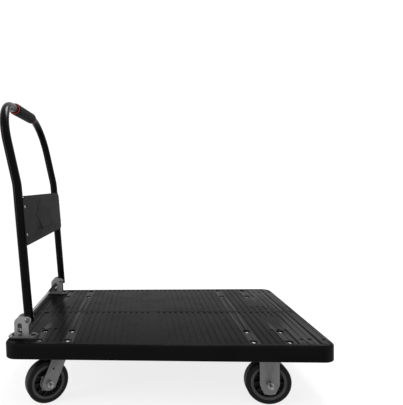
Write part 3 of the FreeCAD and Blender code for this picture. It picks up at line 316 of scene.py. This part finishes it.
def add_coil(build, centre, radius, rise):
    """Sweep a round wire along the coil and cap its two ends."""
    steps = round(SPRING_TURNS * STEPS_PER_TURN)
    rings = []
    for step in range(steps + 1):
        point = coil_point(step / steps, centre, radius, rise)
        ahead = coil_point((step + 0.5) / steps, centre, radius, rise)
        behind = coil_point((step - 0.5) / steps, centre, radius, rise)
        along = (ahead - behind).normalized()
        outward = Vector((point.x - centre.x, point.y - centre.y, 0)).normalized()
        upward = along.cross(outward).normalized()
        angles = [2 * math.pi * side / WIRE_SIDES for side in range(WIRE_SIDES)]
        rings.append([build.verts.new(point + SPRING_WIRE * (outward * math.cos(angle)
                                                             + upward * math.sin(angle)))
                      for angle in angles])
    for ring, following in zip(rings, rings[1:]):
        for side in range(WIRE_SIDES):
            other = (side + 1) % WIRE_SIDES
            build.faces.new((ring[side], ring[other], following[other], following[side]))
    build.faces.new(reversed(rings[0]))
    build.faces.new(rings[-1])


def add_latch_springs():
    """The two coils under the latch blocks, fixed to the deck here; the real ones shorten as the release bar is
    pressed.
    """
    low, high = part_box("latch_springs")
    outer = (high.x - low.x) / 2
    mesh = bpy.data.meshes.new("latch_coils")
    build = bmesh.new()
    for side in (-1, 1):
        foot = Vector(((low.x + high.x) / 2, side * (high.y - outer), low.z + SPRING_WIRE))
        add_coil(build, foot, outer - SPRING_WIRE, high.z - low.z - 2 * SPRING_WIRE)
    bmesh.ops.recalc_face_normals(build, faces=build.faces)
    build.to_mesh(mesh)
    build.free()
    mesh.materials.append(MATERIALS["spring_steel"])
    for face in mesh.polygons:
        face.use_smooth = len(face.vertices) == 4
    coils = bpy.data.objects.new("latch_coils", mesh)
    bpy.context.scene.collection.objects.link(coils)
    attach(coils, "deck")
    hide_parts("latch_springs")
    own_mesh(coils)


# --- Stage, light and camera -----------------------------------------------------------------

# Metres, and millimetres for the lens. The shift puts the cart at the left of the frame.
CAMERA_PLACE = Vector((-0.0366, -1.3973, 0.6254))
CAMERA_YAW = math.radians(5.31)
CAMERA_DROP = math.radians(3.03)
CAMERA_ROLL = math.radians(-1.62)
CAMERA_LENS = 36.52
CAMERA_SHIFT = (0.2383, 0.0119)


def add_camera():
    data = bpy.data.cameras.new("camera")
    data.lens = CAMERA_LENS
    data.shift_x, data.shift_y = CAMERA_SHIFT
    data.clip_start = 0.05
    camera = bpy.data.objects.new("camera", data)
    camera.location = CAMERA_PLACE
    turn = Matrix.Rotation(CAMERA_YAW, 3, "Z") @ Matrix.Rotation(math.pi / 2 - CAMERA_DROP, 3, "X")
    camera.rotation_euler = (turn @ Matrix.Rotation(CAMERA_ROLL, 3, "Z")).to_euler()
    bpy.context.scene.collection.objects.link(camera)
    bpy.context.scene.camera = camera


# The floor glows a little, which keeps the shadows under the cart light.
FLOOR_DARK = (0.18, 0.18, 0.18)
FLOOR_LIGHT = (0.2, 0.2, 0.2)
FLOOR_GLOW = 0.8


def add_floor():
    mesh = bpy.data.meshes.new("studio_floor")
    build = bmesh.new()
    bmesh.ops.create_grid(build, x_segments=1, y_segments=1, size=14)
    build.to_mesh(mesh)
    build.free()
    floor = bpy.data.objects.new("studio_floor", mesh)
    bpy.context.scene.collection.objects.link(floor)
    surface = Surface("studio_floor", Roughness=0.9, Specular_IOR_Level=0.0)
    surface.colour(surface.mix(surface.noise(2), FLOOR_DARK, FLOOR_LIGHT))
    surface.shader.inputs["Emission Color"].default_value = (1, 1, 1, 1)
    surface.shader.inputs["Emission Strength"].default_value = FLOOR_GLOW
    mesh.materials.append(surface.material)


def add_area(name, place, aim, size, power):
    data = bpy.data.lights.new(name, "AREA")
    data.shape = "RECTANGLE"
    data.size, data.size_y = size
    data.energy = power
    light = bpy.data.objects.new(name, data)
    light.location = place
    light.rotation_euler = (Vector(aim) - Vector(place)).to_track_quat("-Z", "Y").to_euler()
    bpy.context.scene.collection.objects.link(light)


def add_light():
    world = bpy.data.worlds.new("studio")
    world.use_nodes = True
    bpy.context.scene.world = world
    world.node_tree.nodes["Background"].inputs["Color"].default_value = (1, 1, 1, 1)
    world.node_tree.nodes["Background"].inputs["Strength"].default_value = 1.08
    add_area("overhead", (0.3, 0.6, 2.6), (0, 0, 0.2), (0.9, 0.9), 60)
    add_area("left_strip", (-2.2, -1.2, 1.1), (-0.4, 0, 0.6), (0.25, 1.8), 26)
    bpy.context.scene.view_settings.view_transform = "Standard"


add_wheel_finishes()
paint_nodes()
add_latch_springs()
add_camera()
add_floor()
add_light()
